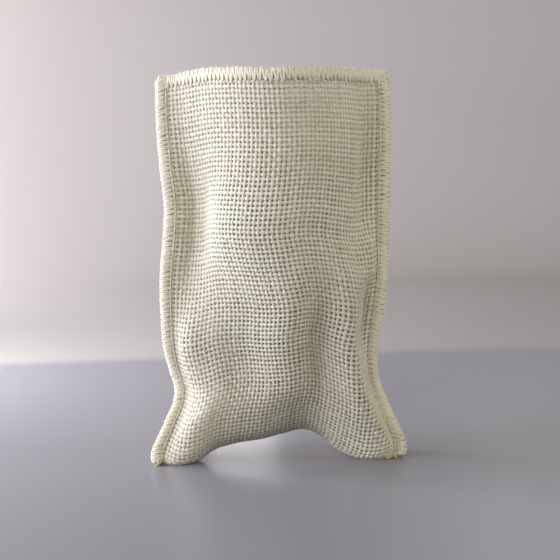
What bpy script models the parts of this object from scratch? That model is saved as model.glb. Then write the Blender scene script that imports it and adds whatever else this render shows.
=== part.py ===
"""A burlap pouch, 130 x 180 mm laid flat, standing open on the two corners of its fold.

One length of cloth is folded in half at the bottom and joined up both sides by overlocked
seams. Its mouth is open. The cloth is one hollow solid: X runs across the front, Y away
from the viewer and Z up, with the floor at Z = 0.
"""

import bmesh
import bpy
import numpy as np

MM = 0.001
TINY = 1e-6

# Driving dimensions, in millimetres.
CLOTH_WIDTH = 130.0  # across a panel laid flat, seam edge to seam edge
CLOTH_HEIGHT = 180.0  # from the fold to the mouth, along the cloth
WALL = 1.2  # one layer of cloth
SEAM = 5.0  # width of the overlocked seam, where the two panels are one
EDGE_SWELL = 0.35  # how far the overlock thread stands out from the cloth
SOLE_BEND = 3.0  # height over which the cloth curls up off the floor at the corners
SOLE_PRESS = 0.4  # how far the corners are pressed flat on the floor
FOLD_ROUNDING = 0.6  # half the flat of the fold's underside, in walls
FRONT_SHARPNESS = 2.2  # how tightly the front panel turns up from the fold
BACK_SHARPNESS = 5.0  # how tightly the back panel does, which lies flatter on the floor
SEAM_PLANE = 1.8  # where the seams' plane lies along Y, which centres the pouch on the origin
SEAM_FOLLOW = 2.5  # power by which a seam's stand fades from it towards the middle of a panel
FOLD_FADE = 9.0  # distance from a seam over which the folds in a panel set in
ARCH_PUSH = 0.65  # how far the arch in the fold is pushed back, as a share of its height
PUSH_REACH = 36.0  # height over which the cloth comes forward again above it
STEEPEST = 0.94  # most that a panel may turn out of the seam plane, as a sine
LEAST_CLIMB = 0.02  # least that a panel climbs for its length, as a share
FINE_STEP = 0.25  # spacing of the points at which a panel's shape is summed up
ROW_REACH = 36  # how many such points to each side the weft evens the height of its warps over

# The sections of the pouch, one row for each height up the cloth. left and right are the
# seam edges; forward is how far both seams stand towards the viewer; crown is how far the
# panel bulges; ridge is where its crest lies, as a share of the width; left_full and
# right_full say how full each flank is, from 1 for a straight one; left_flare and
# right_flare draw the foot of each flank out flat.
SECTION_COLUMNS = ("height", "left", "right", "forward")
SECTIONS = (
    (0, -56.2, 55.4, 7.5),
    (3, -58.4, 57.4, 7.5),
    (9, -58.6, 58.2, 7.0),
    (15, -56.2, 56.4, 5.5),
    (25, -51.8, 52.4, 3.0),
    (33, -48.4, 49.4, 1.5),
    (40, -47.4, 47.0, 0.5),
    (48, -49.4, 46.2, 0.5),
    (59, -51.7, 47.1, 1.0),
    (75, -52.4, 50.0, 1.5),
    (92, -52.0, 52.2, 1.5),
    (108, -50.2, 53.0, 1.0),
    (123, -49.0, 53.8, 0.5),
    (141, -50.4, 54.6, 0.0),
    (160, -51.1, 55.2, 0.0),
    (180, -50.9, 54.6, 0.0),
)
PANEL_COLUMNS = (
    "height", "crown", "ridge", "left_full", "left_flare", "right_full", "right_flare"
)
FRONT = (
    (0, 22.0, 0.52, 1.8, 0.0, 1.6, 0.0),
    (15, 20.0, 0.55, 2.0, 0.0, 1.8, 0.0),
    (30, 20.5, 0.58, 2.1, 0.0, 2.0, 0.0),
    (45, 22.0, 0.60, 2.0, 0.0, 2.0, 0.0),
    (60, 25.0, 0.60, 1.9, 0.1, 1.8, 0.0),
    (78, 29.0, 0.58, 1.7, 0.4, 1.7, 0.0),
    (96, 32.0, 0.55, 1.6, 0.6, 1.6, 0.1),
    (112, 33.0, 0.53, 1.6, 0.7, 1.6, 0.3),
    (135, 31.5, 0.52, 1.6, 0.7, 1.6, 0.5),
    (158, 31.0, 0.52, 1.6, 0.5, 1.6, 0.5),
    (180, 33.5, 0.52, 1.6, 0.4, 1.6, 0.5),
)
BACK = (
    (0, 23.0, 0.52, 1.6, 0.0, 1.6, 0.0),
    (6, 28.0, 0.51, 2.3, 0.0, 2.3, 0.0),
    (14, 28.5, 0.50, 2.4, 0.0, 2.4, 0.0),
    (28, 27.5, 0.49, 2.0, 0.0, 2.0, 0.0),
    (50, 27.0, 0.47, 1.8, 0.1, 1.8, 0.2),
    (90, 27.5, 0.48, 1.7, 0.2, 1.7, 0.3),
    (130, 27.0, 0.50, 1.7, 0.3, 1.7, 0.3),
    (180, 29.0, 0.51, 1.7, 0.3, 1.7, 0.3),
)

# The folds in each panel: soft ridges (rise above 0) and troughs, with the place of the
# middle across the cloth from the left seam edge and up from the fold, the half width, the
# half length, the lean from upright in degrees, positive with the top to the right.
FOLD_COLUMNS = ("across", "up", "half_width", "half_length", "lean", "rise")
FRONT_FOLDS = (
    (16, 113, 14, 31, 0, -5.4),
    (8, 142, 8, 30, 0, -1.5),
    (16, 66, 8, 18, 8, 2.4),
    (46, 50, 15, 22, -8, -5.4),
    (73, 71, 11, 18, -5, 2.4),
    (73, 24, 24, 15, 0, -4.0),
    (86, 58, 9, 30, -6, -5.0),
    (106, 60, 9, 28, -14, 7.0),
    (120, 72, 6, 16, -4, -5.5),
    (117, 28, 10, 20, -28, 5.0),
    (20, 26, 10, 18, 8, 3.0),
    (118, 99, 8, 11, 0, 3.0),
    (118, 142, 8, 36, 0, -3.6),
)
BACK_FOLDS = (
    (38, 62, 12, 30, 14, -4.0),
    (92, 118, 12, 40, -8, -4.5),
    (58, 140, 13, 34, 6, 2.5),
    (102, 48, 10, 22, -22, 2.6),
    (22, 128, 10, 36, 4, -3.0),
)

# How high the fold is arched off the floor between the corners, and how high the mouth
# stands, against the cloth's width.
EDGE_COLUMNS = ("across", "height")
ARCH = (
    (0, 0.0),
    (19, 0.0),
    (24, 2.4),
    (31, 6.4),
    (44, 9.6),
    (58, 11.0),
    (68, 13.2),
    (79, 14.4),
    (87, 11.0),
    (93, 6.8),
    (99, 3.2),
    (105, 0.0),
    (130, 0.0),
)
MOUTH = (
    (0, 177.0),
    (12, 178.2),
    (25, 179.2),
    (45, 178.6),
    (66, 177.2),
    (105, 177.4),
    (130, 177.0),
)

PANEL_STRIP = 5.8  # width and height of the mesh faces, away from the edges
# Places of mesh lines beside each seam edge, above the fold and at the overlocked mouth.
EDGE_STATIONS = (0.0, 1.2, SEAM, 7.5, 10.0, 12.5, 15.0, 17.5, 20.5, 23.5, 27.0)
FOLD_STATIONS = (0.0, 1.5, 3.0, 4.5, 6.0, 8.0, 10.0, 12.5, 16.0)
MOUTH_STATIONS = (174.0, 175.5, 179.0, 180.0)

CLOTH_COLOUR = (0.68, 0.63, 0.50, 1.0)


def curve(table, columns, name, at):
    """A smooth curve through one column of a table: cubic Hermite pieces whose slope at each
    row is the slope between its neighbours."""
    rows = np.array(table, dtype=float)
    place, value = rows[:, 0], rows[:, columns.index(name)]
    slope = np.gradient(value, place)
    i = np.clip(np.searchsorted(place, at, side="right") - 1, 0, len(place) - 2)
    step = place[i + 1] - place[i]
    u = (np.clip(at, place[0], place[-1]) - place[i]) / step
    return (
        value[i] * (1 + 2 * u) * (1 - u) ** 2
        + value[i + 1] * u**2 * (3 - 2 * u)
        + step * slope[i] * u * (1 - u) ** 2
        - step * slope[i + 1] * u**2 * (1 - u)
    )


def smooth_step(run):
    """An S-shaped rise from 0 to 1, level at both ends."""
    run = np.clip(run, 0.0, 1.0)
    return run**2 * (3 - 2 * run)


def flank(run, full, flare):
    """Rise of a flank from 0 at its foot to 1 at the crest: 1 - (1 - run)^full, mixed with an
    S-shaped rise by the share flare."""
    run = np.clip(run, 0.0, 1.0)
    return (1 - flare) * (1 - (1 - run) ** full) + flare * smooth_step(run)


def folds(table, across, up):
    """Sum of the folds: each is its rise times a Gaussian in the distances across and along
    the line that leans with it."""
    total = np.zeros(np.broadcast(across, up).shape)
    for row in table:
        fold = dict(zip(FOLD_COLUMNS, row))
        cosine, sine = np.cos(np.radians(fold["lean"])), np.sin(np.radians(fold["lean"]))
        beside, above = across - fold["across"], up - fold["up"]
        aside = (beside * cosine - above * sine) / fold["half_width"]
        along = (beside * sine + above * cosine) / fold["half_length"]
        total += fold["rise"] * np.exp(-(aside**2) - along**2)
    return total


def crown_depth(sections, across, up):
    """Depth of a panel in front of the seam plane without its folds: the crown times the
    flank on that side of the ridge."""
    inside = (across - SEAM) / (CLOTH_WIDTH - 2 * SEAM)
    crown, ridge, left_full, left_flare, right_full, right_flare = (
        curve(sections, PANEL_COLUMNS, name, up) for name in PANEL_COLUMNS[1:]
    )
    left = flank(inside / ridge, left_full, left_flare)
    right = flank((1 - inside) / (1 - ridge), right_full, right_flare)
    return crown * np.where(inside < ridge, left, right)


def smoothed(values, reach):
    """Each row of values averaged twice over reach points to each side."""
    window = np.ones(2 * reach + 1) / (2 * reach + 1)
    for _ in range(2):
        padded = np.pad(values, ((0, 0), (reach, reach)), mode="edge")
        values = np.stack([np.convolve(row, window, "valid") for row in padded])
    return values


def paid_out(points, first, last):
    """The points slid along each row, between the columns first and last, until they lie
    evenly along the cloth: each row is read again at equal shares of its running length."""
    between = points[:, first : last + 1]
    steps = np.linalg.norm(np.diff(between[..., :2], axis=1), axis=2)
    run = np.pad(np.cumsum(steps, axis=1), ((0, 0), (1, 0)))
    even = np.linspace(0, 1, between.shape[1])
    rows = [
        np.stack([np.interp(even, length, line) for line in row.T], axis=-1)
        for row, length in zip(between, run / run[:, -1:])
    ]
    return np.concatenate((points[:, :first], rows, points[:, last + 1 :]), axis=1)


def panel(sections, fold_table, sharpness, side, across, up):
    """Points of a panel's inner face, as an array of rows (up) by columns (across) by 3.

    The depth is the smaller of the crown's depth and the distance from the fold, blended as
    a power mean, because a panel can't leave the fold faster than its own length, plus the
    folds, which fade out at the seams and the fold. The arch in the fold is pushed back, and
    the cloth above it comes forward again. Each weft spreads between the seam edges
    by the cosine of its slope. Each warp climbs from the arch to the mouth in proportion to
    the length that its depth and lean leave over, evened out along the weft. Last, the
    points are slid along the weft until its pitch is even."""
    fine_across = np.linspace(0, CLOTH_WIDTH, 1 + round(CLOTH_WIDTH / FINE_STEP))
    fine_up = np.linspace(0, CLOTH_HEIGHT, 1 + round(CLOTH_HEIGHT / FINE_STEP))
    s, t = np.meshgrid(fine_across, fine_up)
    from_seam = np.minimum(s, CLOTH_WIDTH - s) - SEAM
    fade = smooth_step(from_seam / FOLD_FADE) * smooth_step(t / FOLD_FADE)
    creases = folds(fold_table, s, t) * fade
    crown = crown_depth(sections, s, t)
    reach = np.maximum(t, TINY) ** -sharpness + np.maximum(crown, TINY) ** -sharpness
    depth = reach ** (-1 / sharpness) + creases

    steep = np.clip(np.gradient(crown + creases, fine_across, axis=1), -STEEPEST, STEEPEST)
    spread = np.cumsum(np.sqrt(1 - steep**2), axis=1)
    spread = (spread - spread[:, :1]) / (spread[:, -1:] - spread[:, :1])
    left = curve(SECTIONS, SECTION_COLUMNS, "left", t)
    right = curve(SECTIONS, SECTION_COLUMNS, "right", t)
    x = left + (right - left) * spread
    near_seam = np.abs(2 * s / CLOTH_WIDTH - 1) ** SEAM_FOLLOW
    stand = curve(SECTIONS, SECTION_COLUMNS, "forward", t) * near_seam
    arch = curve(ARCH, EDGE_COLUMNS, "height", s)
    push = ARCH_PUSH * arch * (1 - smooth_step(t / PUSH_REACH))
    y = SEAM_PLANE - stand + side * depth + push

    lean = np.gradient(x, fine_up, axis=0) ** 2 + np.gradient(y, fine_up, axis=0) ** 2
    climb = np.cumsum(np.sqrt(np.clip(1 - lean, LEAST_CLIMB**2, 1.0)), axis=0)
    climb = smoothed((climb - climb[:1]) / (climb[-1:] - climb[:1]), ROW_REACH)
    lift = arch + climb * (curve(MOUTH, EDGE_COLUMNS, "height", s) + SOLE_BEND - arch)
    z = WALL - SOLE_PRESS + lift**2 / (lift + SOLE_BEND)
    seams = np.searchsorted(fine_across, (SEAM - TINY, CLOTH_WIDTH - SEAM - TINY))
    points = paid_out(np.stack((x, y, z), axis=-1), *seams)
    columns = np.searchsorted(fine_across, across - TINY)
    rows = np.searchsorted(fine_up, up - TINY)
    return points[np.ix_(rows, columns)]


def stations():
    """Places of the mesh lines across and up a panel: close together at the edges, even
    between."""
    first, last = EDGE_STATIONS[-1], CLOTH_WIDTH - EDGE_STATIONS[-1]
    middle = np.linspace(first, last, 1 + round((last - first) / PANEL_STRIP))[1:-1]
    far_edge = [CLOTH_WIDTH - place for place in reversed(EDGE_STATIONS)]
    across = np.concatenate((EDGE_STATIONS, middle, far_edge))
    first, last = FOLD_STATIONS[-1], MOUTH_STATIONS[0]
    middle = np.linspace(first, last, 1 + round((last - first) / PANEL_STRIP))[1:-1]
    return across, np.concatenate((FOLD_STATIONS, middle, MOUTH_STATIONS))


def evened(grid):
    """The grid with each point averaged with its neighbours, which rounds sharp changes."""
    padded = np.pad(grid, ((1, 1), (1, 1), (0, 0)), mode="edge")
    across = padded[:, :-2] + 2 * padded[:, 1:-1] + padded[:, 2:]
    return (across[:-2] + 2 * across[1:-1] + across[2:]) / 16


def outer_face(inner, side, across, up):
    """The panel's outer face: the inner face moved out along its evened normal by the wall,
    and a little more where overlock thread wraps the edges. The fold's row goes straight
    down, and whatever would reach below the floor is pressed flat on it."""
    along_width = np.gradient(inner, axis=1)
    along_height = np.gradient(inner, axis=0)
    normal = -side * np.cross(along_width, along_height)
    normal = evened(evened(normal / np.linalg.norm(normal, axis=2, keepdims=True)))
    normal /= np.linalg.norm(normal, axis=2, keepdims=True)
    on_seam = np.minimum(across, CLOTH_WIDTH - across)[None, :] < SEAM
    at_mouth = up[:, None] > MOUTH_STATIONS[0]
    wall = WALL + EDGE_SWELL * (on_seam | at_mouth)
    outer = inner + normal * wall[..., None]
    outer[0] = inner[0] + np.array((0.0, side * FOLD_ROUNDING * WALL, -WALL))
    outer[:, 0] = inner[:, 0]
    outer[:, -1] = inner[:, -1]
    outer[0, (0, -1), 2] = 0.0
    outer[..., 2] = np.maximum(outer[..., 2], 0.0)
    return outer


def add_grid(bm, points, shared):
    """Adds the grid's points and returns them as rows of vertices. A place that shared names
    takes the vertex given there."""
    return [
        [shared.get((j, i)) or bm.verts.new(tuple(place * MM)) for i, place in enumerate(row)]
        for j, row in enumerate(points)
    ]


def add_faces(bm, rows):
    for low, high in zip(rows, rows[1:]):
        for i in range(len(low) - 1):
            corners = dict.fromkeys((low[i], low[i + 1], high[i + 1], high[i]))
            bm.faces.new(list(corners))


def add_strip(bm, one, other):
    """Faces between two lines of vertices of equal length, which may share their ends."""
    for i in range(len(one) - 1):
        corners = dict.fromkeys((one[i], one[i + 1], other[i + 1], other[i]))
        if len(corners) > 2:
            bm.faces.new(list(corners))


def cloth_mesh():
    across, up = stations()
    seam_column = list(EDGE_STATIONS).index(SEAM)
    last = len(across) - 1
    bm = bmesh.new()

    front_inner = panel(FRONT, FRONT_FOLDS, FRONT_SHARPNESS, -1, across, up)
    back_inner = panel(BACK, BACK_FOLDS, BACK_SHARPNESS, 1, across, up)
    front = add_grid(bm, outer_face(front_inner, -1, across, up), {})
    edges = {(j, i): front[j][i] for j in range(len(up)) for i in (0, last)}
    back = add_grid(bm, outer_face(back_inner, 1, across, up), edges)
    add_faces(bm, front)
    add_faces(bm, back)
    add_strip(bm, front[0], back[0])

    hollow = slice(seam_column, last + 1 - seam_column)
    front_lining = add_grid(bm, front_inner[:, hollow], {})
    width = len(front_lining[0]) - 1
    joined = {(0, i): front_lining[0][i] for i in range(width + 1)}
    joined |= {(j, i): front_lining[j][i] for j in range(len(up)) for i in (0, width)}
    back_lining = add_grid(bm, back_inner[:, hollow], joined)
    add_faces(bm, front_lining)
    add_faces(bm, back_lining)

    for outer, inner in ((front, front_lining), (back, back_lining)):
        add_strip(bm, outer[-1][hollow], inner[-1])
    for edge, corner in ((0, front_lining[-1][0]), (last, front_lining[-1][-1])):
        step = 1 if edge == 0 else -1
        near = [edge + step * k for k in range(seam_column + 1)]
        add_strip(bm, [front[-1][i] for i in near[:-1]], [back[-1][i] for i in near[:-1]])
        a, b = near[-2:]
        bm.faces.new((front[-1][a], front[-1][b], corner, back[-1][b], back[-1][a]))

    bmesh.ops.triangulate(bm, faces=bm.faces, quad_method="SHORT_EDGE")
    bmesh.ops.recalc_face_normals(bm, faces=bm.faces)
    mesh = bpy.data.meshes.new("bag_cloth")
    bm.to_mesh(mesh)
    bm.free()
    return mesh


def burlap():
    material = bpy.data.materials.new("bleached burlap")
    material.use_nodes = True
    shader = material.node_tree.nodes["Principled BSDF"]
    shader.inputs["Base Color"].default_value = CLOTH_COLOUR
    shader.inputs["Roughness"].default_value = 0.92
    shader.inputs["Metallic"].default_value = 0.0
    return material


for old in list(bpy.data.objects):
    bpy.data.objects.remove(old)

bag = bpy.data.objects.new("bag_cloth", cloth_mesh())
bag.data.materials.append(burlap())
bag.data.shade_smooth()
bpy.context.scene.collection.objects.link(bag)
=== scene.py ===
"""A burlap pouch standing on a pale table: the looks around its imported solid."""

import bpy
import numpy as np
from mathutils import Matrix, Vector


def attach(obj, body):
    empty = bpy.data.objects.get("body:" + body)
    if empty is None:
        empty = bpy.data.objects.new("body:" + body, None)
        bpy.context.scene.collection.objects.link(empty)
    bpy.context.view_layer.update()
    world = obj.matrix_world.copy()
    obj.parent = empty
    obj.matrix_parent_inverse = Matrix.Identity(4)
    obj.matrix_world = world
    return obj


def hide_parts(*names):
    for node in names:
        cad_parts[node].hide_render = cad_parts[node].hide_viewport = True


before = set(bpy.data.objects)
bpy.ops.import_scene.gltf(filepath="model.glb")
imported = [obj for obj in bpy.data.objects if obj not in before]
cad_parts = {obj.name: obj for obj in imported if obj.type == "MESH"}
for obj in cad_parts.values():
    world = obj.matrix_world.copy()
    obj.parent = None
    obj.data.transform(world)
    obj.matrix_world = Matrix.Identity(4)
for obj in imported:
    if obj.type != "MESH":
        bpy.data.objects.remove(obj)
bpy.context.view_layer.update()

# ------------------------------------------------------------------------------------------
# The shape in which the cloth stands. One length of burlap is folded in half and joined up
# both sides. It stands open on the two corners of its fold, with the soft folds of cloth
# that has lain flat. Two panels, front and back, share the fold and both seams.

MM = 0.001
TINY = 1e-6
CLOTH_WIDTH = 130.0
CLOTH_HEIGHT = 180.0
LAYER = 1.25  # one layer of woven cloth
SEAM = 5.0  # width of the overlocked band along each seam
SOLE_BEND = 3.0  # how softly the cloth bends up from the table
FLOOR_LIFT = 0.8  # height of the cloth's inner face where it lies on the table
SEAM_PLANE = 1.8  # where the seams stand from front to back, before SECTIONS moves them
SEAM_FOLLOW = 2.5  # the higher, the less of each panel moves forward with its seams
FOLD_FADE = 9.0  # the folds die out over this width beside a seam and above the bottom fold
ARCH_PUSH = 0.65  # how far the arched bottom is pushed back, as a share of its height
PUSH_REACH = 36.0  # how far up the cloth that push reaches
STEEPEST = 0.94  # the most that counts of a weft's change of depth in 1 mm of its length
LEAST_CLIMB = 0.02  # the least that a warp climbs in 1 mm of its length
ROW_REACH = 36  # grid columns over which the weft evens out how high its warps climb
STEP = 0.25  # spacing of the grid on which the shape is worked out
SEAM_CELLS = round(SEAM / STEP)
NORMAL_REACH = 3  # grid cells over which the outward normals are evened

# Seam edges at each height up the cloth, and how far they stand towards the viewer.
SECTION_COLUMNS = ("height", "left", "right", "forward")
SECTIONS = (
    (0, -56.2, 55.4, 7.5),
    (3, -58.4, 57.4, 7.5),
    (9, -58.6, 58.2, 7.0),
    (15, -56.2, 56.4, 5.5),
    (25, -51.8, 52.4, 3.0),
    (33, -48.4, 49.4, 1.5),
    (40, -47.4, 47.0, 0.5),
    (48, -49.4, 46.2, 0.5),
    (59, -51.7, 47.1, 1.0),
    (75, -52.4, 50.0, 1.5),
    (92, -52.0, 52.2, 1.5),
    (108, -50.2, 53.0, 1.0),
    (123, -49.0, 53.8, 0.5),
    (141, -50.4, 54.6, 0.0),
    (160, -51.1, 55.2, 0.0),
    (180, -50.9, 54.6, 0.0),
)

# How far each panel bulges (crown) and where across it the crest lies (ridge). Each flank has
# its fullness, and a flare, the share of it that leaves the seam in an S-shaped rise.
PANEL_COLUMNS = (
    "height", "crown", "ridge", "left_full", "left_flare", "right_full", "right_flare"
)
FRONT = (
    (0, 22.0, 0.52, 1.8, 0.0, 1.6, 0.0),
    (15, 20.0, 0.55, 2.0, 0.0, 1.8, 0.0),
    (30, 20.5, 0.58, 2.1, 0.0, 2.0, 0.0),
    (45, 22.0, 0.60, 2.0, 0.0, 2.0, 0.0),
    (60, 25.0, 0.60, 1.9, 0.1, 1.8, 0.0),
    (78, 29.0, 0.58, 1.7, 0.4, 1.7, 0.0),
    (96, 32.0, 0.55, 1.6, 0.6, 1.6, 0.1),
    (112, 33.0, 0.53, 1.6, 0.7, 1.6, 0.3),
    (135, 31.5, 0.52, 1.6, 0.7, 1.6, 0.5),
    (158, 31.0, 0.52, 1.6, 0.5, 1.6, 0.5),
    (180, 33.5, 0.52, 1.6, 0.4, 1.6, 0.5),
)
BACK = (
    (0, 23.0, 0.52, 1.6, 0.0, 1.6, 0.0),
    (6, 28.0, 0.51, 2.3, 0.0, 2.3, 0.0),
    (14, 28.5, 0.50, 2.4, 0.0, 2.4, 0.0),
    (28, 27.5, 0.49, 2.0, 0.0, 2.0, 0.0),
    (50, 27.0, 0.47, 1.8, 0.1, 1.8, 0.2),
    (90, 27.5, 0.48, 1.7, 0.2, 1.7, 0.3),
    (130, 27.0, 0.50, 1.7, 0.3, 1.7, 0.3),
    (180, 29.0, 0.51, 1.7, 0.3, 1.7, 0.3),
)
FRONT_SHARPNESS = 2.2
BACK_SHARPNESS = 5.0

# The soft folds in each panel: ridges rise above 0, troughs lie below it.
FOLD_COLUMNS = ("across", "up", "half_width", "half_length", "lean", "rise")
FRONT_FOLDS = (
    (16, 113, 14, 31, 0, -5.4),
    (8, 142, 8, 30, 0, -1.5),
    (16, 66, 8, 18, 8, 2.4),
    (46, 50, 15, 22, -8, -5.4),
    (73, 71, 11, 18, -5, 2.4),
    (73, 24, 24, 15, 0, -4.0),
    (86, 58, 9, 30, -6, -5.0),
    (106, 60, 9, 28, -14, 7.0),
    (120, 72, 6, 16, -4, -5.5),
    (117, 28, 10, 20, -28, 5.0),
    (20, 26, 10, 18, 8, 3.0),
    (118, 99, 8, 11, 0, 3.0),
    (118, 142, 8, 36, 0, -3.6),
)
BACK_FOLDS = (
    (38, 62, 12, 30, 14, -4.0),
    (92, 118, 12, 40, -8, -4.5),
    (58, 140, 13, 34, 6, 2.5),
    (102, 48, 10, 22, -22, 2.6),
    (22, 128, 10, 36, 4, -3.0),
)

# How high the fold is arched off the table, and how high the mouth stands.
EDGE_COLUMNS = ("across", "height")
ARCH = (
    (0, 0.0),
    (19, 0.0),
    (24, 2.4),
    (31, 6.4),
    (44, 9.6),
    (58, 11.0),
    (68, 13.2),
    (79, 14.4),
    (87, 11.0),
    (93, 6.8),
    (99, 3.2),
    (105, 0.0),
    (130, 0.0),
)
MOUTH = (
    (0, 177.0),
    (12, 178.2),
    (25, 179.2),
    (45, 178.6),
    (66, 177.2),
    (105, 177.4),
    (130, 177.0),
)


def curve(table, columns, name, at):
    """A smooth curve through one column of a table: cubic Hermite pieces whose slope at each
    row is the slope between its neighbours."""
    rows = np.array(table, dtype=float)
    place, value = rows[:, 0], rows[:, columns.index(name)]
    slope = np.gradient(value, place)
    i = np.clip(np.searchsorted(place, at, side="right") - 1, 0, len(place) - 2)
    step = place[i + 1] - place[i]
    u = (np.clip(at, place[0], place[-1]) - place[i]) / step
    return (
        value[i] * (1 + 2 * u) * (1 - u) ** 2
        + value[i + 1] * u**2 * (3 - 2 * u)
        + step * slope[i] * u * (1 - u) ** 2
        - step * slope[i + 1] * u**2 * (1 - u)
    )


def smooth_step(run):
    """An S-shaped rise from 0 to 1, level at both ends."""
    run = np.clip(run, 0.0, 1.0)
    return run**2 * (3 - 2 * run)


def flank(run, full, flare):
    """Rise of a flank from 0 at its foot to 1 at the crest: 1 - (1 - run)^full, mixed with an
    S-shaped rise by the share flare."""
    run = np.clip(run, 0.0, 1.0)
    return (1 - flare) * (1 - (1 - run) ** full) + flare * smooth_step(run)


def folds(table, across, up):
    """Sum of the folds: each is its rise times a Gaussian in the distances across and along
    the line that leans with it."""
    total = np.zeros(across.shape)
    for row in table:
        fold = dict(zip(FOLD_COLUMNS, row))
        cosine, sine = np.cos(np.radians(fold["lean"])), np.sin(np.radians(fold["lean"]))
        beside, above = across - fold["across"], up - fold["up"]
        aside = (beside * cosine - above * sine) / fold["half_width"]
        along = (beside * sine + above * cosine) / fold["half_length"]
        total += fold["rise"] * np.exp(-(aside**2) - along**2)
    return total


def smoothed(values, reach):
    """Each row of values averaged twice over reach cells to each side."""
    window = np.ones(2 * reach + 1) / (2 * reach + 1)
    for _ in range(2):
        padded = np.pad(values, ((0, 0), (reach, reach)), mode="edge")
        values = np.stack([np.convolve(row, window, "valid") for row in padded])
    return values


def panel(sections, fold_table, sharpness, side, s, t):
    """Inner face of a panel over the grid s (across) and t (up). Depth is the power mean of
    the crown and the distance from the fold, plus the folds. Each weft spreads between the
    seam edges by the cosine of its slope, and each warp climbs by what its lean leaves."""
    inside = (s - SEAM) / (CLOTH_WIDTH - 2 * SEAM)
    crown, ridge, left_full, left_flare, right_full, right_flare = (
        curve(sections, PANEL_COLUMNS, name, t) for name in PANEL_COLUMNS[1:]
    )
    left_flank = flank(inside / ridge, left_full, left_flare)
    right_flank = flank((1 - inside) / (1 - ridge), right_full, right_flare)
    crown = crown * np.where(inside < ridge, left_flank, right_flank)
    from_seam = np.minimum(s, CLOTH_WIDTH - s) - SEAM
    fade = smooth_step(from_seam / FOLD_FADE) * smooth_step(t / FOLD_FADE)
    creases = folds(fold_table, s, t) * fade
    reach = np.maximum(t, TINY) ** -sharpness + np.maximum(crown, TINY) ** -sharpness
    depth = reach ** (-1 / sharpness) + creases

    steep = np.clip(np.gradient(crown + creases, STEP, axis=1), -STEEPEST, STEEPEST)
    spread = np.cumsum(np.sqrt(1 - steep**2), axis=1)
    spread = (spread - spread[:, :1]) / (spread[:, -1:] - spread[:, :1])
    left = curve(SECTIONS, SECTION_COLUMNS, "left", t)
    right = curve(SECTIONS, SECTION_COLUMNS, "right", t)
    x = left + (right - left) * spread
    near_seam = np.abs(2 * s / CLOTH_WIDTH - 1) ** SEAM_FOLLOW
    stand = curve(SECTIONS, SECTION_COLUMNS, "forward", t) * near_seam
    arch = curve(ARCH, EDGE_COLUMNS, "height", s)
    push = ARCH_PUSH * arch * (1 - smooth_step(t / PUSH_REACH))
    y = SEAM_PLANE - stand + side * depth + push

    lean = np.gradient(x, STEP, axis=0) ** 2 + np.gradient(y, STEP, axis=0) ** 2
    climb = np.cumsum(np.sqrt(np.clip(1 - lean, LEAST_CLIMB**2, 1.0)), axis=0)
    climb = smoothed((climb - climb[:1]) / (climb[-1:] - climb[:1]), ROW_REACH)
    lift = arch + climb * (curve(MOUTH, EDGE_COLUMNS, "height", s) + SOLE_BEND - arch)
    z = FLOOR_LIFT + lift**2 / (lift + SOLE_BEND)
    return paid_out(np.stack((x, y, z), axis=-1), SEAM_CELLS, x.shape[1] - 1 - SEAM_CELLS)


def paid_out(points, first, last):
    """The points slid along each row, between the columns first and last, until they lie
    evenly along the cloth: each row is read again at equal shares of its running length."""
    between = points[:, first : last + 1]
    steps = np.linalg.norm(np.diff(between[..., :2], axis=1), axis=2)
    run = np.pad(np.cumsum(steps, axis=1), ((0, 0), (1, 0)))
    even = np.linspace(0, 1, between.shape[1])
    rows = [
        np.stack([np.interp(even, length, line) for line in row.T], axis=-1)
        for row, length in zip(between, run / run[:, -1:])
    ]
    return np.concatenate((points[:, :first], rows, points[:, last + 1 :]), axis=1)


def evened(grid, reach):
    """The grid averaged over reach cells to each side, along both of its directions."""
    for axis in (0, 1):
        pad = [(reach, reach) if i == axis else (0, 0) for i in range(3)]
        padded = np.pad(grid, pad, mode="edge")
        size = grid.shape[axis]
        grid = sum(np.take(padded, range(k, k + size), axis=axis) for k in range(2 * reach + 1))
        grid = grid / (2 * reach + 1)
    return grid


def unit(vectors):
    """The vectors divided by their own lengths."""
    return vectors / np.maximum(np.linalg.norm(vectors, axis=-1, keepdims=True), TINY)


# The whole length of cloth as one grid: along it runs from the back's mouth (-180) over the
# fold (0) to the front's mouth (180), and across it from the left seam edge to the right.
across_line = np.linspace(0, CLOTH_WIDTH, 1 + round(CLOTH_WIDTH / STEP))
up_line = np.linspace(0, CLOTH_HEIGHT, 1 + round(CLOTH_HEIGHT / STEP))
grid_across, grid_up = np.meshgrid(across_line, up_line)
front_face = panel(FRONT, FRONT_FOLDS, FRONT_SHARPNESS, -1, grid_across, grid_up)
back_face = panel(BACK, BACK_FOLDS, BACK_SHARPNESS, 1, grid_across, grid_up)
cloth_face = np.concatenate((back_face[:0:-1], front_face))
cloth_out = unit(np.cross(np.gradient(cloth_face, axis=1), np.gradient(cloth_face, axis=0)))
cloth_out = unit(evened(evened(cloth_out, NORMAL_REACH), NORMAL_REACH))


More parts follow.
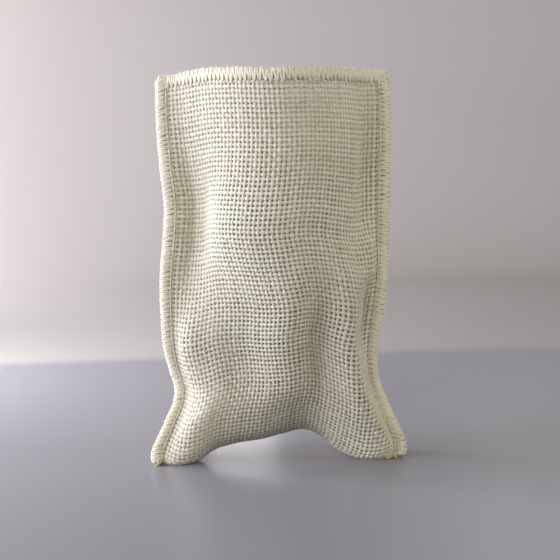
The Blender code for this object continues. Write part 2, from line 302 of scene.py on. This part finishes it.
def on_cloth(across, along, out):
    """Points at the cloth coordinates across and along, lifted off the inner face by out:
    the grid's points and outward normals, taken between cells in proportion. Beyond an edge
    the edge's own slope is carried on."""
    column = np.clip(across, 0, CLOTH_WIDTH) / STEP
    row = (np.clip(along, -CLOTH_HEIGHT, CLOTH_HEIGHT) + CLOTH_HEIGHT) / STEP
    i = np.minimum(column.astype(int), cloth_face.shape[1] - 2)
    j = np.minimum(row.astype(int), cloth_face.shape[0] - 2)
    u, v = (column - i)[..., None], (row - j)[..., None]

    def between(grid):
        low = grid[j, i] * (1 - u) + grid[j, i + 1] * u
        return low * (1 - v) + (grid[j + 1, i] * (1 - u) + grid[j + 1, i + 1] * u) * v

    over = (across - np.clip(across, 0, CLOTH_WIDTH))[..., None]
    past = (along - np.clip(along, -CLOTH_HEIGHT, CLOTH_HEIGHT))[..., None]
    sideways = unit(cloth_face[j, i + 1] - cloth_face[j, i])
    onwards = unit(cloth_face[j + 1, i] - cloth_face[j, i])
    normals = unit(between(cloth_out))
    points = between(cloth_face) + over * sideways + past * onwards
    return points + np.asarray(out)[..., None] * normals, normals


# ------------------------------------------------------------------------------------------
# The woven cloth: 62 warp yarns run the length, over the fold, and 86 weft yarns cross each
# panel, over one and under one. Jute singles of about 1.5 mm, spun unevenly, bleached to a
# warm off-white and pressed flat where they float.

ENDS = 62
PICKS = 86
END_PITCH = CLOTH_WIDTH / ENDS
PICK_PITCH = CLOTH_HEIGHT / PICKS
WARP_HALF_WIDTH = 0.85
WEFT_HALF_WIDTH = 0.83
YARN_HALF_THICKNESS = 0.42
FLOAT_SPREAD = 0.22  # a yarn is wider by this share on its floats, and narrower between them
WARP_CRIMP = 0.22  # how far a yarn's middle moves up and down from the cloth's middle
WEFT_CRIMP = 0.12
RINGS = 3  # to each crossing
YARN_SIDES = 6
SLACK_SHARE = 0.16  # how much fuller the yarns lie where the cloth is slack
SLACK_REACH = 52.0  # how far from the left seam the front is slack
SLACK_FADE = 0.7  # the share of that reach over which the slack fades
BELLY_SHARE = 0.13  # how much thinner the yarns lie in the middle of the stretched belly
BELLY_PLACE = (68.0, 38.0)
BELLY_REACH = (36.0, 48.0)
PAINTED_HOLE_SHADE = 0.38  # painted shade: the darker colour's share where a yarn dives between two floats, beside the holes
BLEACHED_JUTE = "#E3DFD0"
# The darker colour gives the fibre streaks, and is also the painted shade where yarns dive
# between floats.
DARKER_FIBRE_AND_PAINTED_SHADE = "#A89874"

# Wave lengths in mm and sizes of what changes slowly along a yarn, and how much the shades
# of two yarns differ.
YARN_WIDTHS = ((60, 23, 7), (0.07, 0.06, 0.05))
YARN_THICKNESSES = ((40, 9), (0.05, 0.05))
YARN_TONES = ((70, 19, 6), (0.04, 0.03, 0.03))
TONE_BETWEEN_YARNS = 0.05
STRAY = ((85, 34, 11), (0.06, 0.04, 0.03))  # how the yarns stray from their even places

chance = np.random.default_rng(7)


def wander(count, along, waves, sizes):
    """Slow chance variation along each of count lines: a sum of sines of about the given
    wave lengths and of the given sizes, each with its own chance phase per line."""
    total = np.zeros((count, along.shape[-1]))
    for wave, size in zip(waves, sizes):
        phase = chance.uniform(0, 2 * np.pi, (count, 1))
        own_wave = wave * chance.uniform(0.8, 1.25, (count, 1))
        total += size * np.sin(2 * np.pi * along / own_wave + phase)
    return total


def tube_mesh(name, centres, normals, half_width, half_thickness, sides, tones):
    """One mesh of closed tubes, one for each line of centres. A ring is an ellipse in the
    plane square to the line, half_width along line x normal and half_thickness along the
    normal, with a flat side outwards. What would reach below the table is pressed onto it.
    The map along holds the length in metres and the turn round the yarn plus the yarn's
    number; the attribute tone holds each yarn's own shade, and on the woven yarns also a
    painted shade between the floats."""
    count, rings = centres.shape[:2]
    line = unit(np.gradient(centres, axis=1))
    aside = unit(np.cross(line, normals))
    outwards = np.cross(aside, line)
    turn = np.pi / 2 + 2 * np.pi * (np.arange(sides) + 0.5) / sides
    ring = (
        aside[:, :, None] * (half_width[..., None] * np.cos(turn))[..., None]
        + outwards[:, :, None] * (half_thickness[..., None] * np.sin(turn))[..., None]
    )
    points = (centres[:, :, None] + ring).reshape(-1, 3)
    points[:, 2] = np.maximum(points[:, 2], 0.0)

    number = np.arange(count * rings * sides).reshape(count, rings, sides)
    low, high = number[:, :-1], number[:, 1:]
    quads = np.stack((low, np.roll(low, -1, 2), np.roll(high, -1, 2), high), -1)
    ends = [list(tube[0, ::-1]) for tube in number] + [list(tube[-1]) for tube in number]
    mesh = bpy.data.meshes.new(name)
    mesh.from_pydata(points * MM, [], quads.reshape(-1, 4).tolist() + ends)

    steps = np.linalg.norm(np.diff(centres, axis=1), axis=2)
    length = np.concatenate((np.zeros((count, 1)), np.cumsum(steps, axis=1)), axis=1) * MM
    around = np.arange(sides + 1) / sides
    at = np.broadcast_to(length[:, :, None], (count, rings, sides + 1))
    about = np.broadcast_to(around + np.arange(count)[:, None, None], at.shape)
    spread = np.stack((at, about), -1)
    corners = np.stack(
        (spread[:, :-1, :-1], spread[:, :-1, 1:], spread[:, 1:, 1:], spread[:, 1:, :-1]), -2
    ).reshape(-1, 2)
    caps = np.concatenate((spread[:, 0, :-1], spread[:, -1, :-1])).reshape(-1, 2)
    layer = mesh.uv_layers.new(name="along")
    layer.data.foreach_set("uv", np.concatenate((corners, caps)).astype(np.float32).ravel())
    tone = mesh.attributes.new("tone", "FLOAT", "POINT")
    shade = np.broadcast_to(tones[:, :, None], number.shape)
    tone.data.foreach_set("value", shade.astype(np.float32).ravel())
    mesh.shade_smooth()
    return mesh


def linear(hexed, alpha=1.0):
    """An sRGB hex colour as the linear values that a shader takes."""
    parts = np.array([int(hexed[k : k + 2], 16) for k in (1, 3, 5)]) / 255
    low, high = parts / 12.92, ((parts + 0.055) / 1.055) ** 2.4
    return (*np.where(parts <= 0.04045, low, high), alpha)


def new_material(name):
    """A material and its Principled shader."""
    material = bpy.data.materials.new(name)
    material.use_nodes = True
    return material, material.node_tree.nodes["Principled BSDF"]


def node(material, kind, settings=(), inputs=()):
    """Adds a node: settings are its properties, and inputs its sockets by name or number,
    each a value or the output socket of another node."""
    made = material.node_tree.nodes.new(kind)
    for key, value in dict(settings).items():
        setattr(made, key, value)
    for key, value in dict(inputs).items():
        if isinstance(value, bpy.types.NodeSocket):
            material.node_tree.links.new(value, made.inputs[key])
        else:
            made.inputs[key].default_value = value
    return made


def spun(name, pale, dark, twist_mm, streaks, streak_mm, depth_mm, contrast):
    """A matt spun yarn. Fibres show as fine streaks that climb round the yarn by its twist: a
    noise read at (turn + length / twist_mm, length), with streaks round the yarn and
    streak_mm long. The darker colour's share is noise times contrast, plus the yarn's tone."""
    material, shader = new_material(name)
    along = node(material, "ShaderNodeUVMap", {"uv_map": "along"})
    parts = node(material, "ShaderNodeSeparateXYZ", {}, {0: along.outputs[0]})
    turns = node(
        material,
        "ShaderNodeMath",
        {"operation": "MULTIPLY_ADD"},
        {0: parts.outputs[0], 1: 1 / (twist_mm * MM), 2: parts.outputs[1]},
    )
    streak = node(
        material, "ShaderNodeCombineXYZ", {}, {0: turns.outputs[0], 1: parts.outputs[0]}
    )
    placed = node(
        material,
        "ShaderNodeMapping",
        {},
        {0: streak.outputs[0], "Scale": (streaks, 1 / (streak_mm * MM), 1)},
    )
    fibres = node(
        material,
        "ShaderNodeTexNoise",
        {"noise_dimensions": "2D"},
        {"Vector": placed.outputs[0], "Scale": 1.0, "Detail": 2.0, "Roughness": 0.6},
    )
    tone = node(material, "ShaderNodeAttribute", {"attribute_name": "tone"})
    share = node(
        material,
        "ShaderNodeMath",
        {"operation": "MULTIPLY_ADD", "use_clamp": True},
        {0: fibres.outputs[0], 1: contrast, 2: tone.outputs["Fac"]},
    )
    colour = node(
        material,
        "ShaderNodeMix",
        {"data_type": "RGBA"},
        {"Factor": share.outputs[0], "A": linear(pale), "B": linear(dark)},
    )
    bump = node(
        material,
        "ShaderNodeBump",
        {},
        {"Height": fibres.outputs[0], "Distance": depth_mm * MM, "Strength": 1.0},
    )
    links = material.node_tree.links
    links.new(colour.outputs["Result"], shader.inputs["Base Color"])
    links.new(bump.outputs[0], shader.inputs["Normal"])
    shader.inputs["Roughness"].default_value = 0.9
    shader.inputs["Specular IOR Level"].default_value = 0.2
    shader.inputs["Sheen Weight"].default_value = 0.2
    shader.inputs["Sheen Roughness"].default_value = 0.6
    shader.inputs["Subsurface Weight"].default_value = 0.2
    shader.inputs["Subsurface Radius"].default_value = (1.0, 0.95, 0.85)
    shader.inputs["Subsurface Scale"].default_value = 0.5 * MM
    return material


def shown(name, mesh, material):
    """Adds the mesh to the scene as a piece of the cloth, in one material."""
    mesh.materials.append(material)
    piece = bpy.data.objects.new(name, mesh)
    bpy.context.scene.collection.objects.link(piece)
    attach(piece, "root")
    return piece


# Bleached jute: matt and hairy, so it scatters light evenly and shows no gloss.
bleached_jute = spun(
    "bleached jute yarn",
    BLEACHED_JUTE,
    DARKER_FIBRE_AND_PAINTED_SHADE,
    twist_mm=4.0,
    streaks=14,
    streak_mm=3.0,
    depth_mm=0.05,
    contrast=0.25,
)


def fullness(across, along):
    """How full the yarns lie: 1, plus a share on the slack back, which on the front fades
    away from the left seam, less a Gaussian over the belly, where the front is stretched and
    opens."""
    slack = smooth_step((SLACK_REACH - across) / (SLACK_FADE * SLACK_REACH))
    slack = SLACK_SHARE * np.where(along < 0, 1.0, slack)
    aside = (across - BELLY_PLACE[0]) / BELLY_REACH[0]
    above = (along - BELLY_PLACE[1]) / BELLY_REACH[1]
    return 1 + slack - BELLY_SHARE * np.exp(-(aside**2) - above**2)


def yarns(name, across, along, number, place, crimp, half_width):
    """One panel's yarns of one direction. They swing through the cloth's middle by
    crimp x cos(pi (place - 1/2)), turned over from each yarn to the next, and are widest on
    the floats, with a painted shade that darkens them between the floats. place counts the
    yarns crossed."""
    count = len(number)
    swing = np.cos(np.pi * (place - 0.5)) * (-1.0) ** number
    out = LAYER / 2 + crimp * swing
    run = place * END_PITCH
    widest = 1 - FLOAT_SPREAD * np.cos(2 * np.pi * place)
    widest = widest * fullness(across, along)
    width = half_width * widest * (1 + wander(count, run, *YARN_WIDTHS))
    thick = YARN_HALF_THICKNESS * (1 + wander(count, run, *YARN_THICKNESSES))
    # Painted shade: each yarn's colour darkens where it dives between two floats, beside the
    # holes.
    tone = PAINTED_HOLE_SHADE * (0.5 + 0.5 * np.cos(2 * np.pi * place))
    tone = tone + chance.normal(0, TONE_BETWEEN_YARNS, (count, 1))
    tone = tone + wander(count, run, *YARN_TONES)
    centres, normals = on_cloth(across, along, out)
    mesh = tube_mesh(name, centres, normals, width, thick, YARN_SIDES, tone)
    return shown(name, mesh, bleached_jute)


warp_number = np.arange(ENDS)[:, None]
warp_place = (np.arange(2 * PICKS * RINGS) + 0.5) / RINGS
warp_along = warp_place * PICK_PITCH - CLOTH_HEIGHT
warp_across = (warp_number + 0.5) * END_PITCH + wander(ENDS, warp_along, *STRAY)
weft_place = (np.arange(ENDS * RINGS) + 0.5) / RINGS
weft_across = np.broadcast_to(weft_place * END_PITCH, (PICKS, ENDS * RINGS))
warps, wefts = {}, {}
for face, first in (("back", 0), ("front", PICKS)):
    part = slice(first * RINGS, (first + PICKS) * RINGS)
    along = np.broadcast_to(warp_along[part], (ENDS, PICKS * RINGS))
    warps[face] = yarns(
        f"warp_yarns_{face}",
        warp_across[:, part],
        along,
        warp_number,
        warp_place[part],
        WARP_CRIMP,
        WARP_HALF_WIDTH,
    )
    weft_number = first + np.arange(PICKS)[:, None]
    along = (weft_number + 0.5) * PICK_PITCH - CLOTH_HEIGHT
    along = along + wander(PICKS, weft_across, *STRAY)
    wefts[face] = yarns(
        f"weft_yarns_{face}",
        weft_across,
        along,
        weft_number,
        weft_place,
        -WEFT_CRIMP,
        WEFT_HALF_WIDTH,
    )

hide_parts("bag_cloth")

# ------------------------------------------------------------------------------------------
# Overlocking. Cream thread is looped over the raw edges: the two layers together up both
# sides, and the single layer round the mouth. On each face a looper thread runs from the
# needle line out to the edge and slants back. Both lock into a twisted cord at the edge.

CREAM_THREAD = "#EFE9D9"
CREAM_SHADE = "#CFC3A0"
LOOP_POINTS = 10
CORD_POINTS = 8
NEEDLE_POINTS = 5
STITCH_PLAY = 0.12  # how uneven the stitches are, as a share of their length
PLAY_WAVES = (6.0, 2.6)  # wave lengths with which the loops and cords stray in and out
CORD_OFFSET = 0.38  # of each strand from the cord's middle
CORD_BEYOND = 0.6  # how far that middle stands off the raw edge, as a share of the offset
NEEDLE_LIFT = 0.35  # how far the needle thread stands off the cloth between its dips
THREAD_SIDES = 6

# Wave lengths in mm and sizes of what changes slowly along a thread.
BITE_PLAY = ((17, 5), (0.05, 0.05))
THREAD_SWELL = ((9, 3.1), (0.08, 0.08))
THREAD_TONES = ((31, 4), (0.10, 0.08))

# Bulked thread: softer and creamier than the cloth, with a fine twist.
cream_thread = spun(
    "cream overlock thread",
    CREAM_THREAD,
    CREAM_SHADE,
    twist_mm=1.6,
    streaks=9,
    streak_mm=2.0,
    depth_mm=0.04,
    contrast=0.4,
)


def stitched(start, end, stitch, points, phase):
    """Places along an edge in stitches of slightly uneven length, and the part of a stitch
    done at each place."""
    count = round((end - start) / stitch)
    turns = np.arange(count * points + 1) / points + phase
    jitter = np.concatenate(([0.0], np.cumsum(chance.normal(0, STITCH_PLAY, count + 1))))
    jitter = jitter - np.linspace(0, 1, len(jitter)) * jitter[-1]
    uneven = turns + np.interp(turns, np.arange(len(jitter)), jitter)
    return start + np.clip(uneven / count, 0, 1) * (end - start), turns % 1.0


def loops(start, end, stitch, bite, low, high, phase, play):
    """A looper thread along an edge: its place along the edge, its distance in from the edge
    and its height. In each stitch it slants out to the edge, wraps it at the height low and
    slants back further, no higher than high. It strays in and out by play."""
    place, part = stitched(start, end, stitch, LOOP_POINTS, phase)
    knots = (0.0, 0.12, 0.30, 0.42, 0.5, 0.58, 0.70, 0.88, 1.0)
    distance = (1.0, 0.75, 0.25, -0.02, -0.08, -0.02, 0.25, 0.75, 1.0)
    height = (0.75, 1.0, 1.0, 0.8, low / high, 0.8, 1.0, 1.0, 0.75)
    ahead = (0.0, 0.06, 0.18, 0.26, 0.34, 0.42, 0.58, 0.86, 1.0)
    place = place + (np.interp(part, knots, ahead) - part) * stitch
    own_bite = bite * (1 + wander(1, place, *BITE_PLAY)[0])
    distance = own_bite * np.interp(part, knots, distance)
    distance = distance + wander(1, place, PLAY_WAVES, (play, play))[0]
    return place, distance, high * np.interp(part, knots, height)


def cord(start, end, pitch, offset, strand, play):
    """One of the two strands that twist round each other along an edge: distance and height
    are offset x cos and sin of its turn, round a line that strays just beyond the edge."""
    place, part = stitched(start, end, pitch, CORD_POINTS, 0.0)
    turn = 2 * np.pi * part + np.pi * strand
    stray = wander(1, place, PLAY_WAVES, (play, play))[0]
    distance = stray - offset * CORD_BEYOND + offset * np.cos(turn)
    return place, distance, offset * np.sin(turn)


def needle_line(start, end, stitch, bite, height):
    """The needle thread: a short float in each stitch, which dips onto the cloth after it."""
    place, part = stitched(start, end, stitch, NEEDLE_POINTS, 0.0)
    dips = np.abs(part - 0.5) > 0.45
    return place, np.full(place.shape, bite), height - NEEDLE_LIFT * dips


def threads(name, runs, half_width, half_thickness, sides=THREAD_SIDES):
    """Thread tubes along runs of cloth coordinates (across, along, out)."""
    across, along, out = (np.array(part) for part in zip(*runs))
    centres, normals = on_cloth(across, along, out)
    count = len(centres)
    swell = 1 + wander(count, along, *THREAD_SWELL)
    tone = 0.1 + wander(count, along, *THREAD_TONES)
    wide, thick = half_width * swell, half_thickness * swell
    return tube_mesh(name, centres, normals, wide, thick, sides, tone)


SIDE_STITCH = 2.0
SIDE_CORD_PITCH = 1.1 * SIDE_STITCH
SIDE_PLAY = 0.05
SIDE_BITE = 4.3  # from the edge to the needle line
SIDE_HEIGHTS = (0.2, 1.50)  # of the loops off the seam's middle, at the edge and at their top
SIDE_START, SIDE_END = 0.8, 179.2
SIDE_LOOP = (0.64, 0.30)  # half width and half thickness of the thread
SIDE_STRAND = (0.40, 0.40)
NEEDLE_THREAD = (0.3, 0.22)
side_loops, side_cords, side_needle = [], [], []
for edge, inwards in ((0.0, 1.0), (CLOTH_WIDTH, -1.0)):
    for face in (1.0, -1.0):
        half_turn = 0.5 * (face < 0)
        place, distance, height = loops(
            SIDE_START, SIDE_END, SIDE_STITCH, SIDE_BITE, *SIDE_HEIGHTS, half_turn, SIDE_PLAY
        )
        side_loops.append((edge + inwards * distance, face * place, height))
        place, distance, height = needle_line(
            SIDE_START, SIDE_END, SIDE_STITCH, SIDE_BITE, LAYER + NEEDLE_LIFT
        )
        side_needle.append((edge + inwards * distance, face * place, height))
    for strand in (0, 1):
        place, distance, height = cord(
            SIDE_START, SIDE_END, SIDE_CORD_PITCH, CORD_OFFSET, strand, SIDE_PLAY
        )
        side_cords.append((edge + inwards * distance, place, height))
side_threads = [
    shown(name, threads(name, runs, *sizes), cream_thread)
    for name, runs, sizes in (
        ("side_overlock", side_loops, SIDE_LOOP),
        ("side_edge_cord", side_cords, SIDE_STRAND),
        ("side_needle_line", side_needle, NEEDLE_THREAD),
    )
]

MOUTH_STITCH = 2.4
MOUTH_PLAY = 0.18
MOUTH_BITE = 4.7
MOUTH_HEIGHTS = (0.15, 0.80)
MOUTH_START, MOUTH_END = 0.8, 129.2
MOUTH_LOOP = (0.76, 0.34)
MOUTH_STRAND = (0.36, 0.36)
mouth_loops, mouth_cords = [], []
for face in (1.0, -1.0):
    for outer in (1.0, -1.0):
        half_turn = 0.5 * (outer < 0)
        place, distance, height = loops(
            MOUTH_START,
            MOUTH_END,
            MOUTH_STITCH,
            MOUTH_BITE,
            *MOUTH_HEIGHTS,
            half_turn,
            MOUTH_PLAY,
        )
        along = face * (CLOTH_HEIGHT - distance)
        mouth_loops.append((place, along, LAYER / 2 + outer * height))
    for strand in (0, 1):
        place, distance, height = cord(
            MOUTH_START, MOUTH_END, MOUTH_STITCH, CORD_OFFSET, strand, MOUTH_PLAY
        )
        mouth_cords.append((place, face * (CLOTH_HEIGHT - distance), LAYER / 2 + height))
mouth_threads = [
    shown(name, threads(name, runs, *sizes), cream_thread)
    for name, runs, sizes in (
        ("mouth_overlock", mouth_loops, MOUTH_LOOP),
        ("mouth_edge_cord", mouth_cords, MOUTH_STRAND),
    )
]

# ------------------------------------------------------------------------------------------
# The thread's ends and the cloth's loose fibres. The seams' threads end in a small knot at
# the lower left corner and a short tail at the right one. Jute sheds short stiff hairs, which
# stand off both faces and off the mouth.

KNOT_RADIUS = 1.1
KNOT_THREAD = 0.5  # half the thickness of the thread
KNOT_POINTS = 40
KNOT_SHIFT = 0.3  # how far the winding wanders sideways, as a share of the radius
KNOT_SIDES = 8
TAIL_POINTS = 9
RAW_THREAD = "#D6C593"
RAW_SHADE = "#A48D57"
RAW_TONE = 0.2


def thread_end(corner, turns, tail):
    """A thread wound into a small ball about a corner of the fold and led off as a tail: a
    circle whose plane turns half round in the winding, then a straight line."""
    wind = np.linspace(0, 1, KNOT_POINTS)
    spin, tip = 2 * np.pi * turns * wind, np.pi * wind
    ball = np.stack((
        np.cos(spin) * np.cos(tip) - KNOT_SHIFT * np.sin(tip),
        np.cos(spin) * np.sin(tip),
        np.sin(spin),
    ), -1)
    start = corner + KNOT_RADIUS * ball
    away = np.linspace(0.1, 1, TAIL_POINTS)[:, None] * np.array(tail)
    return np.concatenate((start, start[-1] + away))


# Raw thread: yellower and darker than the seams, so the knot reads as a loose end.
raw_thread = spun(
    "raw end of thread",
    RAW_THREAD,
    RAW_SHADE,
    twist_mm=1.6,
    streaks=9,
    streak_mm=2.0,
    depth_mm=0.05,
    contrast=0.6,
)
corners, _ = on_cloth(np.array([0.2, CLOTH_WIDTH - 0.4]), np.array([0.0, 0.0]), 0.0)
thread_ends = []
for corner, turns, tail in (
    (corners[0] + (0.6, -1.0, 1.0), 3.5, (-3.2, -2.0, -1.6)),
    (corners[1] + (-1.0, -0.8, 0.2), 1.0, (-3.6, -2.4, -0.6)),
):
    line = thread_end(corner, turns, tail)[None]
    upwards = np.broadcast_to(np.array([0.0, -0.5, 1.0]), line.shape)
    round_thread = np.full(line.shape[:2], KNOT_THREAD)
    plain = np.full(line.shape[:2], RAW_TONE)
    name = f"thread_end_{len(thread_ends)}"
    mesh = tube_mesh(name, line, upwards, round_thread, round_thread, KNOT_SIDES, plain)
    thread_ends.append(shown(name, mesh, raw_thread))

HAIRS = 3200
HAIR_POINTS = 4
HAIR_HALF_WIDTH = 0.035
HAIR_SIDES = 3
HAIR_MARGIN = 2.5  # no hair starts nearer to a seam's edge
HAIR_LENGTHS = (0.8, 2.6)
HAIR_BEND = 0.7  # how far a hair's heading turns from root to tip, in radians
HAIR_RISES = (0.2, 1.3)  # how far a tip stands off the cloth
AT_MOUTH = 0.1  # the share of the hairs that stand off the mouth
PAST_MOUTH = 0.3  # how far beyond the mouth those start
MOUTH_SPREAD = 0.3  # how widely they fan out, as a share of all headings
MOUTH_DROP = 0.6  # how far under the outer face they start
MOUTH_RISE = 0.5  # the share of their rise that they keep
hair_across = chance.uniform(HAIR_MARGIN, CLOTH_WIDTH - HAIR_MARGIN, (HAIRS, 1))
hair_along = chance.uniform(-CLOTH_HEIGHT, CLOTH_HEIGHT, (HAIRS, 1))
hair_heading = chance.uniform(0, 2 * np.pi, (HAIRS, 1))
hair_length = chance.uniform(*HAIR_LENGTHS, (HAIRS, 1))
hair_bend = chance.normal(0, HAIR_BEND, (HAIRS, 1))
hair_rise = chance.uniform(*HAIR_RISES, (HAIRS, 1))
at_mouth = chance.uniform(0, 1, (HAIRS, 1)) < AT_MOUTH
mouth_side = np.sign(hair_along)
hair_along = np.where(at_mouth, mouth_side * (CLOTH_HEIGHT + PAST_MOUTH), hair_along)
steer = mouth_side * (np.pi / 2 + MOUTH_SPREAD * (hair_heading - np.pi))
hair_heading = np.where(at_mouth, steer, hair_heading)
done = np.linspace(0, 1, HAIR_POINTS)
hair_turn = hair_heading + hair_bend * done
hair_height = np.where(
    at_mouth, -MOUTH_DROP + MOUTH_RISE * hair_rise * done, hair_rise * done
)
hair_run = (
    hair_across + hair_length * done * np.cos(hair_turn),
    hair_along + hair_length * done * np.sin(hair_turn),
    LAYER + hair_height,
)
hair_mesh = threads(
    "loose_fibres", list(zip(*hair_run)), HAIR_HALF_WIDTH, HAIR_HALF_WIDTH, HAIR_SIDES
)
loose_hairs = shown("loose_fibres", hair_mesh, bleached_jute)

# ------------------------------------------------------------------------------------------
# The table, the round wall and seven soft lights. A window on the left is the strongest. The
# rest light the table and the wall behind, the pouch from the front, the right and the back,
# and put a small gleam on the table.


def box_light(name, place, aim, size, power, colour, spread=180):
    """A rectangular area light at place that shines towards aim: metres, watts, degrees."""
    light = bpy.data.lights.new(name, "AREA")
    light.spread = np.radians(spread)
    light.shape = "RECTANGLE"
    light.size, light.size_y = size
    light.energy = power
    light.color = colour
    lamp = bpy.data.objects.new(name, light)
    bpy.context.scene.collection.objects.link(lamp)
    turn = (Vector(aim) - Vector(place)).to_track_quat("-Z", "Y").to_matrix().to_4x4()
    lamp.matrix_world = Matrix.Translation(place) @ turn


# The room: a round pale floor that curves up into a wall all round, one profile turned about
# the upright axis. Satin paint on the table's part, up to its far edge, and matt beyond.
ROOM = 1.25  # the wall's distance from the pouch, in metres
TABLE_RING = 0.5  # a ring of vertices on the flat part
COVE = 0.35  # radius of the curve between table and wall
COVE_POINTS = 17
CEILING = 1.9
TURNS = 96
TABLE_EDGE = 0.30
TABLE_FADE = 0.05
TABLE_GREY = "#828187"
WALL_GREY = "#9C9794"
TABLE_ROUGHNESS = 0.32
WALL_ROUGHNESS = 0.9
turned = np.linspace(0, np.pi / 2, COVE_POINTS)
reach = np.concatenate(([0.001, TABLE_RING], ROOM - COVE + COVE * np.sin(turned), [ROOM]))
risen = np.concatenate(([0.0, 0.0], COVE - COVE * np.cos(turned), [CEILING]))
heading = 2 * np.pi * np.arange(TURNS) / TURNS
room_points = np.stack((
    reach[:, None] * np.cos(heading),
    reach[:, None] * np.sin(heading),
    np.broadcast_to(risen[:, None], (len(reach), TURNS)),
), -1)
number = np.arange(len(reach) * TURNS).reshape(len(reach), TURNS)
low, high = number[:-1], number[1:]
room_faces = np.stack((low, high, np.roll(high, -1, 1), np.roll(low, -1, 1)), -1)
room_mesh = bpy.data.meshes.new("table_and_wall")
room_mesh.from_pydata(
    room_points.reshape(-1, 3), [], room_faces.reshape(-1, 4).tolist() + [number[0].tolist()]
)
room_mesh.shade_smooth()
paint, paint_shader = new_material("pale wall paint")
where = node(paint, "ShaderNodeTexCoord")
parts = node(paint, "ShaderNodeSeparateXYZ", {}, {0: where.outputs["Object"]})
beyond = node(
    paint,
    "ShaderNodeMapRange",
    {"interpolation_type": "SMOOTHSTEP"},
    {"Value": parts.outputs[1], "From Min": TABLE_EDGE, "From Max": TABLE_EDGE + TABLE_FADE},
)
upwards = node(
    paint,
    "ShaderNodeMapRange",
    {"interpolation_type": "SMOOTHSTEP"},
    {"Value": parts.outputs[2], "From Min": 0.0, "From Max": COVE / 2},
)
wall_share = node(
    paint,
    "ShaderNodeMath",
    {"operation": "MAXIMUM"},
    {0: beyond.outputs[0], 1: upwards.outputs[0]},
)
paint_colour = node(
    paint,
    "ShaderNodeMix",
    {"data_type": "RGBA"},
    {"Factor": wall_share.outputs[0], "A": linear(TABLE_GREY), "B": linear(WALL_GREY)},
)
paint_roughness = node(
    paint,
    "ShaderNodeMix",
    {"data_type": "FLOAT"},
    {"Factor": wall_share.outputs[0], "A": TABLE_ROUGHNESS, "B": WALL_ROUGHNESS},
)
paint.node_tree.links.new(paint_colour.outputs["Result"], paint_shader.inputs["Base Color"])
paint.node_tree.links.new(paint_roughness.outputs["Result"], paint_shader.inputs["Roughness"])
room_mesh.materials.append(paint)
room = bpy.data.objects.new("table_and_wall", room_mesh)
bpy.context.scene.collection.objects.link(room)

box_light("window", (-0.70, -0.04, 0.31), (-0.1, 0.1, 0.1), (0.8, 0.7), 11.0, (0.82, 0.86, 1.0))
box_light("sill", (-0.42, 0.20, 0.14), (-0.2, 0.33, 0.0), (0.12, 0.12), 2.8, (0.95, 0.95, 1.0))
box_light(
    "backdrop", (-0.80, 0.66, 0.34), (-0.42, 1.2, 0.16), (0.25, 0.25), 13.0, (0.97, 0.95, 1.0)
)
box_light("room", (-0.14, -0.86, 0.68), (0, 0, 0.08), (0.6, 0.5), 4.2, (1.0, 0.97, 0.86))
box_light("lamp", (0.80, -0.18, 0.30), (0, 0, 0.08), (0.3, 0.3), 2.4, (0.97, 1.0, 0.90))
box_light("back", (0.45, 0.85, 0.60), (0, 0, 0.08), (0.6, 0.6), 0.9, (1.0, 0.98, 0.95))
box_light("gleam", (-0.03, 0.31, 0.05), (0, 0, 0.0), (0.05, 0.03), 0.005, (1.0, 1.0, 1.0), 90)

# The world gives no light of its own.
world = bpy.data.worlds.new("room")
world.use_nodes = True
world.node_tree.nodes["Background"].inputs[0].default_value = (0.80, 0.82, 0.85, 1.0)
world.node_tree.nodes["Background"].inputs[1].default_value = 0.0
bpy.context.scene.world = world
bpy.context.scene.view_settings.view_transform = "Standard"

# The camera stands 0.58 m in front of the pouch, is turned by 1.8 degrees and looks down by
# the angle that puts the horizon 110 pixels above the middle of the picture.
FOCAL = 1253.0  # in pixels, as are the four places below
PIXELS = 560
PIXEL_MM = 0.463  # size of a pixel at the pouch
DISTANCE = 0.580
HORIZON, BASE, MIDDLE, CENTRE_LINE = 170, 461, 280, 276
SENSOR = 36
SIDEWAYS = 0.8  # mm
ROLL = -1.8
camera_data = bpy.data.cameras.new("camera")
camera_data.sensor_width = SENSOR
camera_data.lens = FOCAL / PIXELS * SENSOR
camera = bpy.data.objects.new("camera", camera_data)
bpy.context.scene.collection.objects.link(camera)
side = (MIDDLE - CENTRE_LINE) * PIXEL_MM * MM + SIDEWAYS * MM
height = (BASE - HORIZON) * DISTANCE / FOCAL
pitch = np.arctan((MIDDLE - HORIZON) / FOCAL)
camera.matrix_world = (
    Matrix.Translation((side, SEAM_PLANE * MM - DISTANCE, height))
    @ Matrix.Rotation(np.pi / 2 - pitch, 4, "X")
    @ Matrix.Rotation(np.radians(ROLL), 4, "Z")
)
bpy.context.scene.camera = camera
